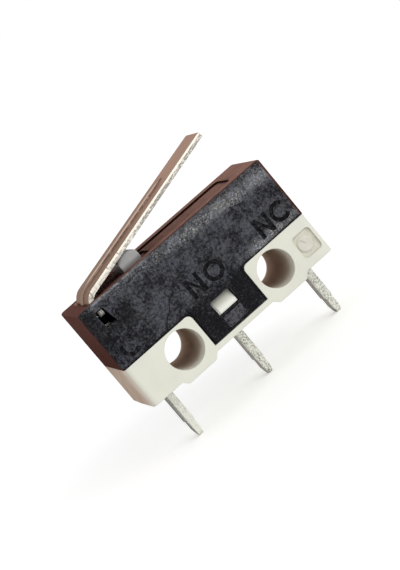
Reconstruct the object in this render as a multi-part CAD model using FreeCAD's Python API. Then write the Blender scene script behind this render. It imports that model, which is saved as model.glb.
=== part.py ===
import FreeCAD, Part
import math
import os

from FreeCAD import Vector

# Subminiature snap-action switch with a hinged lever, millimetres.
# Frame: origin on the axis of the mounting hole at the common end, midway
# through the body. +X runs along the body to the normally-closed end, +Y to
# the back, +Z to the plunger and lever. The solder pins point down.

# Housing
body_length = 12.8
body_width = 5.8
roof_height = 5.0
split_height = 1.25
feet_depth = 1.55
cover_wall = 0.5
cover_roof = 0.55
cover_setback = 0.03
fit_clearance = 0.05
edge_radius = 0.12
cover_corner_radius = 0.25

# Mounting holes, both along Y
hole_from_common_end = 3.2
hole_from_nc_end = 3.1
left_hole_radius = 1.10
right_hole_radius = 1.05

# Base details
end_ridge_height = 0.04
end_ridge_y = 0.45
front_corner_radius = 0.35
back_corner_radius = 0.15
land_corner_radius = 0.32
foot_height = 0.3
foot_half_length = 0.95
spigot_height = 0.4
spigot_wall = 0.35
well_floor_depth = 0.45
well_wall = 0.5
pocket_from_end = 0.9
pocket_below_holes = 0.08
pocket_width = 1.2
pocket_height = 1.36
pocket_depth = 0.18
pocket_corner_radius = 0.22
pocket_disc_shift = 0.08
pocket_disc_radius = 0.5
pocket_disc_flank = 0.1
pocket_disc_height = 0.12

# Cover tabs and the catches that snap into them
tab_width = 3.66
tab_depth = 0.9
tab_window_width = 1.36
tab_window_height = 0.9
tab_window_rise = 0.03
catch_depth = 0.44
catch_tip = 0.1
pad_width = 1.24
pad_height = 0.66
pad_relief = 0.03
pad_corner_radius = 0.12

# Cover top
recess_half_width = 1.7
recess_depth = 0.12
recess_from_nc_end = 1.65
recess_corner_radius = 0.45
plunger_well_depth = 0.14
plunger_well_before = 0.75
plunger_well_after = 1.25
plunger_well_half_width = 1.5

# Lever, drawn with its blade flat and then raised to its free angle
pivot_from_end = 1.1
pivot_below_roof = 0.665
lever_free_angle = 14.36
lever_press_angle = 12.0
lever_thickness = 0.3
lever_tip_from_end = 0.75
lever_rise = 0.69
lever_root_width = 3.76
lever_tip_width = 2.98
lever_tip_corner_radius = 0.12
lever_bend_radius = 0.6
lever_leg_width = 1.05
ear_height = 0.31
ear_recess = 0.15
bead_width = 0.36
bead_height = 0.13
bead_from_tip = 2.8
bead_taper = 0.6
hinge_window_height = 1.04
hinge_window_gap = 0.1
hinge_window_slant = 0.2
slot_side_clearance = 0.12
slot_end_clearance = 0.15

# Plunger
plunger_from_hole = 1.02
plunger_length = 1.25
plunger_width = 2.8
plunger_crown_radius = 0.75
plunger_edge_chamfer = 0.12
flange_overhang = 0.3
flange_height = 0.45
nose_length = 0.7
nose_height = 0.3
touch_gap = 0.02

# Terminals, bent from strip
pin_from_end = 1.32
strip_thickness = 0.5
strip_bend_radius = 0.15
pin_width = 0.8
pin_length = 3.0
pin_shoulder_depth = 1.95
pin_neck_thickness = 0.4
pin_tip_length = 0.45
pin_tip_thickness = 0.24
pin_tip_chamfer = 0.14
press_clearance = 0.02
contact_arm_width = 1.6
contact_from_nc_pin = 1.4
contact_arm_overhang = 0.75
shoulder_height = 0.4
post_width = 0.55
post_gap = 0.45
post_above_blade = 0.4
post_notch_depth = 0.1
post_notch_play = 0.05
anvil_from_plunger = 0.85
anvil_below_blade = 0.12
anvil_notch_depth = 0.1
anvil_notch_lip = 0.1
anvil_notch_height = 0.56

# Contacts and snap blade
contact_gap = 0.5
fixed_contact_radius = 0.6
fixed_contact_height = 0.25
moving_contact_radius = 0.55
moving_contact_height = 0.22
contact_dome = 0.08
contact_shank_radius = 0.32
blade_thickness = 0.1
blade_half_width = 1.2
blade_head_length = 0.4
blade_head_half_width = 1.0
blade_neck_play = 0.07
blade_nose_half_width = 0.78
blade_taper_start = 1.95
blade_window_half_width = 0.72
blade_window_end = 1.9
tongue_half_width = 0.42
tongue_drop = 0.41
tongue_sag = 0.5
tongue_bend_radius = 2.2
tongue_gap = 0.06

# How far cutting shapes run past the faces they open
overrun = 1.0

# Places that follow from the sizes above
x_common_end = -hole_from_common_end
x_nc_end = body_length - hole_from_common_end
hole_pitch = body_length - hole_from_common_end - hole_from_nc_end
x_middle = (x_common_end + x_nc_end) / 2
x_between_holes = hole_pitch / 2
y_face = body_width / 2
y_cover = y_face - cover_setback
y_cavity = y_cover - cover_wall
y_spigot = y_cavity - fit_clearance
z_roof = roof_height
z_ceiling = z_roof - cover_roof
z_split = split_height
z_feet = -feet_depth
z_floor = z_feet + foot_height
z_pin_tip = z_feet - pin_length

x_common_pin = x_common_end + pin_from_end
x_no_pin = x_middle
x_nc_pin = x_nc_end - pin_from_end
x_contact = x_nc_pin - contact_from_nc_pin

z_lower_arm = z_split + strip_thickness / 2
z_no_contact = z_split + strip_thickness + fixed_contact_height
z_blade = z_no_contact + touch_gap + contact_gap + moving_contact_height + blade_thickness / 2
z_nc_contact = z_blade + blade_thickness / 2 + moving_contact_height + touch_gap
z_upper_arm = z_nc_contact + fixed_contact_height + strip_thickness / 2

x_plunger = plunger_from_hole
x_post_face = x_common_pin - strip_thickness / 2
x_blade_hinge = x_post_face + post_notch_depth - touch_gap
x_anvil_face = x_plunger + anvil_from_plunger + strip_thickness / 2
x_anvil = x_anvil_face - strip_thickness / 2
x_tongue_tip = x_anvil_face - anvil_notch_depth + tongue_gap

pivot = Vector(x_common_end + pivot_from_end, 0, z_roof - pivot_below_roof)
lever_reach = body_length - pivot_from_end - lever_tip_from_end
bead_end = lever_reach - bead_from_tip

blade_swing = math.degrees(math.asin(contact_gap / (x_contact - x_blade_hinge)))
nose_near_side = x_plunger - (nose_length - nose_height) / 2
blade_drop_at_plunger = (nose_near_side - x_blade_hinge) * math.sin(math.radians(blade_swing))


def crown_height(angle):
    """Height of the plunger's crown centre that just clears the lever at an angle."""
    a = math.radians(angle)
    reach = x_plunger - pivot.x
    rise = lever_rise - plunger_crown_radius - touch_gap
    return pivot.z + (rise + reach * math.sin(a)) / math.cos(a)


z_crown_centre = crown_height(lever_free_angle)
plunger_travel = z_crown_centre - crown_height(lever_free_angle - lever_press_angle)
z_plunger_foot = (z_blade + blade_thickness / 2 - blade_drop_at_plunger
                  + touch_gap + plunger_travel)


# Drawing helpers
def box(x0, x1, y0, y1, z0, z1):
    return Part.makeBox(x1 - x0, y1 - y0, z1 - z0, Vector(x0, y0, z0))


def bar(x0, x1, half_width, z0, z1):
    """Box centred on the middle plane."""
    return box(x0, x1, -half_width, half_width, z0, z1)


def prism_xz(outline, y0, y1):
    """Outline of (x, z) points, drawn out along Y."""
    points = [Vector(x, y0, z) for x, z in outline]
    face = Part.Face(Part.makePolygon(points + points[:1]))
    return face.extrude(Vector(0, y1 - y0, 0))


def prism_xy(outline, z0, z1):
    """Outline of (x, y) points, drawn up along Z."""
    points = [Vector(x, y, z0) for x, y in outline]
    face = Part.Face(Part.makePolygon(points + points[:1]))
    return face.extrude(Vector(0, 0, z1 - z0))


def prism_yz(outline, x0, x1):
    """Outline of (y, z) points, drawn out along X."""
    points = [Vector(x0, y, z) for y, z in outline]
    face = Part.Face(Part.makePolygon(points + points[:1]))
    return face.extrude(Vector(x1 - x0, 0, 0))


def rounded_bar(x0, x1, half_width, z0, z1, radius):
    """Box centred on the middle plane, with upright edges rounded."""
    solid = bar(x0, x1, half_width, z0, z1)
    return rounded(solid, radius, lambda e: runs_along(e, "z"))


def cylinder_y(x, z, radius, y0, y1):
    return Part.makeCylinder(radius, y1 - y0, Vector(x, y0, z), Vector(0, 1, 0))


def runs_along(edge, axis):
    """True for a straight edge parallel to the named axis."""
    if not isinstance(edge.Curve, (Part.Line, Part.LineSegment)):
        return False
    span = edge.BoundBox
    lengths = {"x": span.XLength, "y": span.YLength, "z": span.ZLength}
    others = [length for name, length in lengths.items() if name != axis]
    return lengths[axis] > 0.01 and max(others) < 1e-6


def near(value, target):
    return abs(value - target) < 1e-4


def rounded(solid, radius, wanted):
    """Fillet the edges for which wanted(edge) is true."""
    edges = [edge for edge in solid.Edges if wanted(edge)]
    return solid.makeFillet(radius, edges)


def bent_strip(path, thickness, bend_radius, y0, y1):
    """Sheet strip that follows (x, z) points, with its inner bends rounded."""
    radius = bend_radius + thickness / 2
    points = [Vector(x, y0, z) for x, z in path]
    sides = {+1: [], -1: []}
    for side in sides:
        last = points[0] + normal_xz(points[0], points[1]) * (side * thickness / 2)
        for before, corner, after in zip(points, points[1:], points[2:]):
            start, middle, end = bend_points(before, corner, after, radius, side, thickness)
            sides[side].append(Part.makeLine(last, start))
            sides[side].append(Part.Arc(start, middle, end).toShape())
            last = end
        finish = points[-1] + normal_xz(points[-2], points[-1]) * (side * thickness / 2)
        sides[side].append(Part.makeLine(last, finish))
    ends = [
        Part.makeLine(sides[+1][0].Vertexes[0].Point, sides[-1][0].Vertexes[0].Point),
        Part.makeLine(sides[+1][-1].Vertexes[-1].Point, sides[-1][-1].Vertexes[-1].Point),
    ]
    wire = Part.Wire(Part.__sortEdges__(sides[+1] + sides[-1] + ends))
    return Part.Face(wire).extrude(Vector(0, y1 - y0, 0))


def normal_xz(start, end):
    """Unit normal to the left of a run, in the XZ plane."""
    run = (end - start).normalize()
    return Vector(-run.z, 0, run.x)


def bend_points(before, corner, after, radius, side, thickness):
    """Start, middle and end of one edge of a rounded bend."""
    into = (corner - before).normalize()
    out = (after - corner).normalize()
    turn = into.getAngle(out)
    left = 1 if into.x * out.z - into.z * out.x > 0 else -1
    start = corner - into * (radius * math.tan(turn / 2))
    centre = start + normal_xz(before, corner) * (left * radius)
    edge_radius_here = radius - side * left * thickness / 2
    first = normal_xz(before, corner) * (-left * edge_radius_here)
    last = normal_xz(corner, after) * (-left * edge_radius_here)
    middle = (first + last).normalize() * edge_radius_here
    return centre + first, centre + middle, centre + last


# Base
def base_block():
    """Moulded block whose ends rise to a parting ridge."""
    inset = end_ridge_height
    outline = [
        (x_common_end + inset, -y_face),
        (x_nc_end - inset, -y_face),
        (x_nc_end, end_ridge_y),
        (x_nc_end - inset, y_face),
        (x_common_end + inset, y_face),
        (x_common_end, end_ridge_y),
    ]
    block = prism_xy(outline, z_floor, z_split)
    block = rounded(block, front_corner_radius,
                    lambda e: runs_along(e, "z") and near(e.BoundBox.YMin, -y_face))
    return rounded(block, back_corner_radius,
                   lambda e: runs_along(e, "z") and near(e.BoundBox.YMax, y_face))


def foot(x):
    """Standing foot under a mounting hole, with 45 degree flanks."""
    outline = [
        (x - foot_half_length - foot_height, z_floor),
        (x - foot_half_length, z_feet),
        (x + foot_half_length, z_feet),
        (x + foot_half_length + foot_height, z_floor),
    ]
    return prism_xz(outline, -y_face, y_face)


def tab_recess(side):
    """Room for a cover tab in the front (-1) or back (+1) face."""
    half = tab_width / 2 + fit_clearance
    y0, y1 = sorted((side * y_spigot, side * (y_face + overrun)))
    return box(x_between_holes - half, x_between_holes + half, y0, y1,
               -tab_depth - fit_clearance, z_split + overrun)


def catch(side):
    """Ramp that the tab rides over, with a ledge that holds it down."""
    half = tab_window_width / 2 - fit_clearance
    z0 = tab_window_rise + fit_clearance
    z1 = tab_window_rise + tab_window_height - fit_clearance
    outline = [
        (side * y_spigot, z0),
        (side * (y_spigot + catch_depth), z0),
        (side * (y_spigot + catch_depth), z0 + 2 * catch_tip),
        (side * (y_spigot + catch_tip), z1),
        (side * y_spigot, z1),
    ]
    return prism_yz(outline, x_between_holes - half, x_between_holes + half)


def spigot():
    """Upstanding ring that the cover's walls slide over."""
    x0 = x_common_end + cover_setback + cover_wall + fit_clearance
    x1 = x_nc_end - cover_setback - cover_wall - fit_clearance
    outer = bar(x0, x1, y_spigot, z_split, z_split + spigot_height)
    inner = bar(x0 + spigot_wall, x1 - spigot_wall, y_spigot - spigot_wall,
                z_split, z_split + spigot_height)
    return outer.cut(inner)


def centre_well():
    """Coring between the mounting holes, round the middle terminal."""
    x0 = left_hole_radius + well_wall
    x1 = hole_pitch - right_hole_radius - well_wall
    return rounded_bar(x0, x1, y_spigot - spigot_wall, -well_floor_depth, z_split,
                       pocket_corner_radius)


def mould_pocket():
    """Shallow pocket with a round, sloping boss, on the front of the end land."""
    x = x_nc_end - pocket_from_end
    z = -pocket_below_holes
    y_bottom = pocket_depth - y_face
    pocket = box(x - pocket_width / 2, x + pocket_width / 2, -y_face - overrun, y_bottom,
                 z - pocket_height / 2, z + pocket_height / 2)
    pocket = rounded(pocket, pocket_corner_radius, lambda e: runs_along(e, "y"))
    boss = Part.makeCone(pocket_disc_radius, pocket_disc_radius - pocket_disc_flank,
                         pocket_disc_height, Vector(x - pocket_disc_shift, y_bottom, z),
                         Vector(0, -1, 0))
    return pocket.cut(boss)


def terminal_slots():
    """Slots that grip the three pins, with room for the common strip's bend."""
    half_x = strip_thickness / 2 + press_clearance
    half_y = pin_width / 2 + press_clearance
    slots = []
    for x in (x_common_pin, x_no_pin, x_nc_pin):
        slots.append(bar(x - half_x, x + half_x, half_y, z_floor - overrun, z_roof))
    slots.append(bar(x_common_pin, x_common_pin + half_x + strip_bend_radius, half_y,
                     z_split - strip_bend_radius - press_clearance, z_roof))
    return slots


def base():
    solid = base_block()
    for side in (-1, 1):
        solid = solid.cut(tab_recess(side))
    half = tab_width / 2 + fit_clearance
    land_edges = (x_between_holes - half, x_between_holes + half)

    def is_land_corner(edge):
        at_edge = any(near(edge.BoundBox.XMin, x) for x in land_edges)
        return runs_along(edge, "y") and near(edge.BoundBox.ZMin, z_split) and at_edge

    solid = rounded(solid, land_corner_radius, is_land_corner)
    for x in (0, hole_pitch):
        solid = solid.fuse(foot(x))
    solid = solid.fuse([spigot(), catch(-1), catch(1)])
    holes = [
        cylinder_y(0, 0, left_hole_radius, -y_face - overrun, y_face + overrun),
        cylinder_y(hole_pitch, 0, right_hole_radius, -y_face - overrun, y_face + overrun),
    ]
    solid = solid.cut(holes + [centre_well(), mould_pocket()] + terminal_slots())
    return solid.removeSplitter()


# Cover
def cover_shell():
    """Box with a tab hanging from each side, open underneath."""
    x0 = x_common_end + cover_setback
    x1 = x_nc_end - cover_setback
    block = bar(x0, x1, y_cover, z_split, z_roof)
    half = tab_width / 2
    tabs = bar(x_between_holes - half, x_between_holes + half, y_cover,
               -tab_depth, z_split)
    solid = block.fuse(tabs).removeSplitter()
    solid = rounded(solid, cover_corner_radius,
                    lambda e: runs_along(e, "z") and near(e.BoundBox.ZMax, z_roof))
    solid = rounded(solid, land_corner_radius, lambda e: runs_along(e, "y")
                    and near(e.BoundBox.ZMin, z_split)
                    and near(abs(e.BoundBox.XMin - x_between_holes), half))
    solid = rounded(solid, edge_radius,
                    lambda e: near(e.BoundBox.ZMin, z_roof) and near(e.BoundBox.ZMax, z_roof))
    cavity = bar(x0 + cover_wall, x1 - cover_wall, y_cavity, -tab_depth - overrun, z_ceiling)
    return solid.cut(cavity)


def roof_recess():
    """Shallow seat that the pressed lever drops into."""
    x0 = hinge_slot_end()
    x1 = x_nc_end - recess_from_nc_end
    seat = bar(x0, x1, recess_half_width, z_roof - recess_depth, z_roof + overrun)
    return rounded(seat, recess_corner_radius,
                   lambda e: runs_along(e, "z") and near(e.BoundBox.XMax, x1))


def plunger_well():
    """Dished surround of the plunger's hole."""
    z = z_roof - recess_depth - plunger_well_depth
    return rounded_bar(x_plunger - plunger_well_before, x_plunger + plunger_well_after,
                       plunger_well_half_width, z, z_roof + overrun, 2 * edge_radius)


def plunger_hole():
    half = plunger_length / 2 + fit_clearance
    return bar(x_plunger - half, x_plunger + half, plunger_width / 2 + fit_clearance,
               z_ceiling - overrun, z_roof)


def hinge_slot_end():
    """Where the pressed lever's bend leaves the roof, plus a clearance."""
    bend = (lever_bend_radius + lever_thickness / 2) * math.tan(leg_turn() / 2)
    return pivot.x + leg_foot_offset() + bend + slot_end_clearance


def hinge_slot():
    """Slot that the lever's legs drop through."""
    x0 = pivot.x - lever_thickness / 2 - slot_end_clearance
    return bar(x0, hinge_slot_end(), lever_root_width / 2 + slot_side_clearance,
               z_ceiling - overrun, z_roof + overrun)


def hinge_windows():
    """Windows in both side walls that the lever's ears pivot in."""
    sweep = math.hypot(lever_thickness, ear_height) / 2
    x0 = pivot.x - sweep - hinge_window_gap
    x1 = pivot.x + sweep
    z1 = pivot.z + sweep + touch_gap
    z0 = z1 - hinge_window_height
    outline = [(x0, z0), (x1 + hinge_window_slant, z0), (x1, z1), (x0, z1)]
    return prism_xz(outline, -y_face - overrun, y_face + overrun)


def tab_windows():
    half = tab_window_width / 2
    z0 = tab_window_rise
    return bar(x_between_holes - half, x_between_holes + half, y_face + overrun,
               z0, z0 + tab_window_height)


def front_pad():
    """Low blank pad under the front tab's window."""
    z0 = (tab_window_rise - tab_depth - pad_height) / 2
    pad = box(x_between_holes - pad_width / 2, x_between_holes + pad_width / 2,
              -y_cover - pad_relief, -y_cover + cover_wall / 2, z0, z0 + pad_height)
    return rounded(pad, pad_corner_radius, lambda e: runs_along(e, "y"))


def cover():
    solid = cover_shell()
    cuts = [roof_recess(), plunger_well(), plunger_hole(), hinge_slot(),
            hinge_windows(), tab_windows()]
    solid = solid.cut(cuts).fuse(front_pad())
    return solid.removeSplitter()


# Lever
def leg_turn():
    """Turn of the bend, so that the legs hang plumb at the free angle."""
    return math.radians(90 - lever_free_angle)


def leg_foot_offset():
    """Distance along the flat lever from the pivot to the bend's corner."""
    return (lever_rise + lever_thickness / 2) * math.tan(math.radians(lever_free_angle))


def lever_profile(y0, y1):
    """Side view of the lever, blade flat: blade, bend and leg."""
    a = math.radians(lever_free_angle)
    z = lever_rise + lever_thickness / 2
    foot_length = ear_height / 2
    path = [
        (lever_reach, z),
        (leg_foot_offset(), z),
        (-foot_length * math.sin(a), -foot_length * math.cos(a)),
    ]
    return bent_strip(path, lever_thickness, lever_bend_radius, y0, y1)


def lever_outline():
    """Plan view of the lever, wide at the hinge and narrow at the free end."""
    root = lever_root_width / 2
    tip = lever_tip_width / 2
    parallel = lever_bend_radius
    outline = [(-overrun, -root), (parallel, -root), (lever_reach, -tip),
               (lever_reach, tip), (parallel, root), (-overrun, root)]
    plate = prism_xy(outline, -overrun, lever_rise + overrun)
    return rounded(plate, lever_tip_corner_radius,
                   lambda e: runs_along(e, "z") and near(e.BoundBox.XMin, lever_reach))


def leg_gap():
    """Room between the two legs, which lets them be squeezed together."""
    half = lever_root_width / 2 - lever_leg_width
    gap = bar(-overrun, overrun, half, -overrun, lever_rise - lever_bend_radius / 2)
    return rounded(gap, lever_bend_radius / 2, lambda e: runs_along(e, "x")
                   and near(e.BoundBox.ZMax, lever_rise - lever_bend_radius / 2))


def ears():
    """Ends of the legs that reach out into the cover's windows."""
    reach = y_cover - ear_recess
    ear_bar = bar(-lever_thickness / 2, lever_thickness / 2, reach,
                  -ear_height / 2, ear_height / 2)
    between = bar(-overrun, overrun, lever_root_width / 2 - lever_leg_width, -overrun, overrun)
    solid = ear_bar.cut(between)
    solid.rotate(Vector(), Vector(0, 1, 0), lever_free_angle)
    return solid


def bead(surface_height):
    """Stiffening bead along the blade and over the bend, on a given surface."""
    half = bead_width / 2
    sink = lever_thickness / 4
    bend_mid = lever_bend_radius + lever_thickness / 2
    start = leg_foot_offset() + bend_mid * math.tan(leg_turn() / 2)
    end = bead_end - bead_taper
    z = surface_height
    corners = [Vector(start, half, z), Vector(start, half, z - sink),
               Vector(start, -half, z - sink), Vector(start, -half, z)]
    sides = [Part.makeLine(p, q) for p, q in zip(corners, corners[1:])]
    crown = Part.Arc(corners[-1], Vector(start, 0, z + bead_height), corners[0]).toShape()
    section = Part.Face(Part.Wire(sides + [crown]))
    straight = section.extrude(Vector(end - start, 0, 0))
    bend_centre = Vector(start, 0, lever_rise - lever_bend_radius)
    bend = section.revolve(bend_centre, Vector(0, 1, 0), -math.degrees(leg_turn()))
    radius = (half ** 2 + bead_height ** 2) / (2 * bead_height)
    tip = Part.makeCone(radius, radius - bead_height, bead_taper,
                        Vector(end, 0, z + bead_height - radius), Vector(1, 0, 0))
    tip = tip.common(bar(end, bead_end, half, z - sink, z + bead_height))
    return straight.fuse([tip, bend])


def lever():
    half = lever_root_width / 2
    solid = lever_profile(-half, half).common(lever_outline())
    solid = solid.fuse([bead(lever_rise + lever_thickness), ears()])
    solid = solid.cut([bead(lever_rise), leg_gap()]).removeSplitter()
    solid.rotate(Vector(), Vector(0, 1, 0), -lever_free_angle)
    solid.translate(pivot)
    return solid


# Plunger
def plunger():
    """Crowned button with a flange under the roof and a nose over the blade."""
    half = plunger_length / 2
    r = plunger_crown_radius
    z_shoulder = z_crown_centre + math.sqrt(r * r - half * half)
    left, right = x_plunger - half, x_plunger + half
    y0 = -plunger_width / 2
    corners = [Vector(left, y0, z_shoulder), Vector(left, y0, z_ceiling - flange_height),
               Vector(right, y0, z_ceiling - flange_height), Vector(right, y0, z_shoulder)]
    sides = [Part.makeLine(a, b) for a, b in zip(corners, corners[1:])]
    crown = Part.Arc(corners[-1], Vector(x_plunger, y0, z_crown_centre + r), corners[0])
    button = Part.Face(Part.Wire(sides + [crown.toShape()])).extrude(Vector(0, plunger_width, 0))
    button = button.makeChamfer(plunger_edge_chamfer,
                                [e for e in button.Edges if isinstance(e.Curve, Part.Circle)])
    flange = rounded_bar(left - flange_overhang, right + flange_overhang,
                         plunger_width / 2 + flange_overhang,
                         z_ceiling - touch_gap - flange_height, z_ceiling - touch_gap,
                         edge_radius)
    nose = bar(x_plunger - nose_length / 2, x_plunger + nose_length / 2, blade_half_width,
               z_plunger_foot, z_ceiling - flange_height)
    nose = rounded(nose, nose_height / 2,
                   lambda e: runs_along(e, "y") and near(e.BoundBox.ZMin, z_plunger_foot))
    return button.fuse([flange, nose]).removeSplitter()


# Terminals
def pin(x):
    """Solder pin: straight shank, shoulder, neck and tapered tip."""
    half = strip_thickness / 2
    neck = pin_neck_thickness / 2
    tip = pin_tip_thickness / 2
    z_shoulder = z_feet - pin_shoulder_depth
    right = [(half, z_split), (half, z_shoulder), (neck, z_shoulder - 2 * (half - neck)),
             (neck, z_pin_tip + pin_tip_length), (tip, z_pin_tip)]
    left = [(-dx, z) for dx, z in reversed(right)]
    outline = [(x + dx, z) for dx, z in right + left]
    solid = prism_xz(outline, -pin_width / 2, pin_width / 2)
    end_edges = [e for e in solid.Edges if runs_along(e, "x") and near(e.BoundBox.ZMax, z_pin_tip)]
    return solid.makeChamfer(pin_tip_chamfer, end_edges)


def contact_hole(z):
    return Part.makeCylinder(contact_shank_radius, strip_thickness,
                             Vector(x_contact, 0, z - strip_thickness / 2))


def contact_arm(x_pin, x_end, z):
    """Strip that rises from a pin and bends over to carry a fixed contact."""
    strip = bent_strip([(x_pin, z_split - strip_thickness), (x_pin, z), (x_end, z)],
                       strip_thickness, strip_bend_radius, -pin_width / 2, pin_width / 2)
    x0, x1 = sorted((x_contact - math.copysign(contact_arm_overhang, x_end - x_pin), x_end))
    paddle = rounded_bar(x0, x1, contact_arm_width / 2, z - strip_thickness / 2,
                         z + strip_thickness / 2, strip_bend_radius)
    return strip.fuse(paddle).cut(contact_hole(z))


def no_terminal():
    arm = contact_arm(x_no_pin, x_contact + contact_arm_overhang, z_lower_arm)
    return pin(x_no_pin).fuse(arm).removeSplitter()


def nc_terminal():
    """Pin and tall arm, with a shoulder that rests on the base."""
    arm = contact_arm(x_nc_pin, x_contact - contact_arm_overhang, z_upper_arm)
    half = strip_thickness / 2
    shoulder = bar(x_nc_pin - half, x_nc_pin + half, contact_arm_width / 2,
                   z_split, z_split + shoulder_height)
    return pin(x_nc_pin).fuse([arm, shoulder]).removeSplitter()


def blade_post(side):
    """Upturned finger with a notch that anchors the blade's T-shaped head."""
    y0, y1 = sorted((side * post_gap, side * (post_gap + post_width)))
    z_top = z_blade + post_above_blade
    finger = bent_strip([(x_common_pin + 2 * strip_thickness, z_lower_arm),
                         (x_common_pin, z_lower_arm), (x_common_pin, z_top)],
                        strip_thickness, strip_bend_radius, y0, y1)
    play = blade_thickness / 2 + post_notch_play
    notch = bar(x_post_face - overrun, x_post_face + post_notch_depth, y_face,
                z_blade - play, z_blade + play)
    return finger.cut(notch)


def common_terminal():
    """Pin, foot along the base, two anchor posts and the anvil for the tongue."""
    z_anvil = z_blade - blade_thickness / 2 - anvil_below_blade
    centre = bent_strip([(x_common_pin, z_split - strip_thickness), (x_common_pin, z_lower_arm),
                         (x_anvil, z_lower_arm), (x_anvil, z_anvil)],
                        strip_thickness, strip_bend_radius, -pin_width / 2, pin_width / 2)
    foot_plate = bar(x_common_pin + strip_thickness, x_anvil - strip_thickness,
                     post_gap + post_width, z_split, z_split + strip_thickness)
    z_notch = z_anvil - anvil_notch_lip
    notch = bar(x_anvil_face - anvil_notch_depth, x_anvil_face + overrun, pin_width,
                z_notch - anvil_notch_height, z_notch)
    solid = pin(x_common_pin).fuse([centre, foot_plate, blade_post(-1), blade_post(1)])
    return solid.cut(notch).removeSplitter()


# Contacts
def domed_head(radius, height, z_seat, direction):
    """Contact head whose face bulges slightly, pointing up (+1) or down (-1)."""
    rim = z_seat + direction * (height - contact_dome)
    crest = z_seat + direction * height
    at = x_contact
    sphere = (radius ** 2 + contact_dome ** 2) / (2 * contact_dome)
    half_way = radius / 2
    z_mid = crest - direction * (sphere - math.sqrt(sphere ** 2 - half_way ** 2))
    edges = [
        Part.makeLine(Vector(at, 0, crest), Vector(at, 0, z_seat)),
        Part.makeLine(Vector(at, 0, z_seat), Vector(at + radius, 0, z_seat)),
        Part.makeLine(Vector(at + radius, 0, z_seat), Vector(at + radius, 0, rim)),
        Part.Arc(Vector(at + radius, 0, rim), Vector(at + half_way, 0, z_mid),
                 Vector(at, 0, crest)).toShape(),
    ]
    return Part.Face(Part.Wire(edges)).revolve(Vector(at, 0, 0), Vector(0, 0, 1), 360)


def shank(z0, z1):
    return Part.makeCylinder(contact_shank_radius - press_clearance / 2, z1 - z0,
                             Vector(x_contact, 0, z0))


def no_contact():
    z_seat = z_split + strip_thickness
    head = domed_head(fixed_contact_radius, fixed_contact_height, z_seat, +1)
    return head.fuse(shank(z_split, z_seat)).removeSplitter()


def nc_contact():
    z_seat = z_upper_arm - strip_thickness / 2
    head = domed_head(fixed_contact_radius, fixed_contact_height, z_seat, -1)
    return head.fuse(shank(z_seat, z_seat + strip_thickness)).removeSplitter()


def moving_contact():
    """Double-headed rivet through the blade's free end."""
    top = z_blade + blade_thickness / 2
    bottom = z_blade - blade_thickness / 2
    upper = domed_head(moving_contact_radius, moving_contact_height, top, +1)
    lower = domed_head(moving_contact_radius, moving_contact_height, bottom, -1)
    return upper.fuse([lower, shank(bottom, top)]).removeSplitter()


# Snap blade
def snap_blade():
    """One-piece spring: T-shaped head, two rails round a window, and a tongue."""
    z0 = z_blade - blade_thickness / 2
    z1 = z_blade + blade_thickness / 2
    neck_end = x_common_pin + strip_thickness / 2 + blade_neck_play
    x_taper = x_contact - blade_taper_start
    x_nose = x_contact + contact_arm_overhang
    half_outline = [
        (x_blade_hinge - blade_head_length, blade_head_half_width),
        (x_blade_hinge, blade_head_half_width),
        (x_blade_hinge, post_gap - blade_neck_play),
        (neck_end, post_gap - blade_neck_play),
        (neck_end, blade_half_width),
        (x_taper, blade_half_width),
        (x_contact - moving_contact_radius, blade_nose_half_width),
        (x_nose, blade_nose_half_width),
    ]
    outline = half_outline + [(x, -y) for x, y in reversed(half_outline)]
    sheet = prism_xy(outline, z0, z1)
    x_window = x_anvil - strip_thickness / 2 - 2 * fit_clearance
    x_root = x_contact - blade_window_end
    window = rounded_bar(x_window, x_root, blade_window_half_width, z0, z1, edge_radius)
    rivet_hole = Part.makeCylinder(contact_shank_radius, blade_thickness,
                                   Vector(x_contact, 0, z0))
    z_tip = z_blade - tongue_drop
    x_sag = (x_root + x_tongue_tip) / 2
    tongue = bent_strip([(x_root + 2 * edge_radius, z_blade), (x_root - edge_radius, z_blade),
                         (x_sag, z_blade - tongue_sag), (x_tongue_tip, z_tip)],
                        blade_thickness, edge_radius, -tongue_half_width, tongue_half_width)
    return sheet.cut([window, rivet_hole]).fuse(tongue).removeSplitter()


nodes = {
    "base": base,
    "cover": cover,
    "lever": lever,
    "plunger": plunger,
    "common_terminal": common_terminal,
    "no_terminal": no_terminal,
    "nc_terminal": nc_terminal,
    "snap_blade": snap_blade,
    "moving_contact": moving_contact,
    "no_contact": no_contact,
    "nc_contact": nc_contact,
}

os.makedirs("parts", exist_ok=True)
for name, build in nodes.items():
    solids = build().Solids
    shape = solids[0]
    shape.exportStep(os.path.join("parts", name + ".step"))
    print(name, len(solids), "solid", shape.isValid(), "volume", round(shape.Volume, 3))

print("lever pivot", [round(value, 4) for value in pivot])
print("plunger travel", round(plunger_travel, 4))
print("blade hinge", round(x_blade_hinge, 4), round(z_blade, 4), "swing", round(blade_swing, 3))
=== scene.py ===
import math

import bmesh
import bpy
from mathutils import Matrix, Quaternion, Vector


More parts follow.
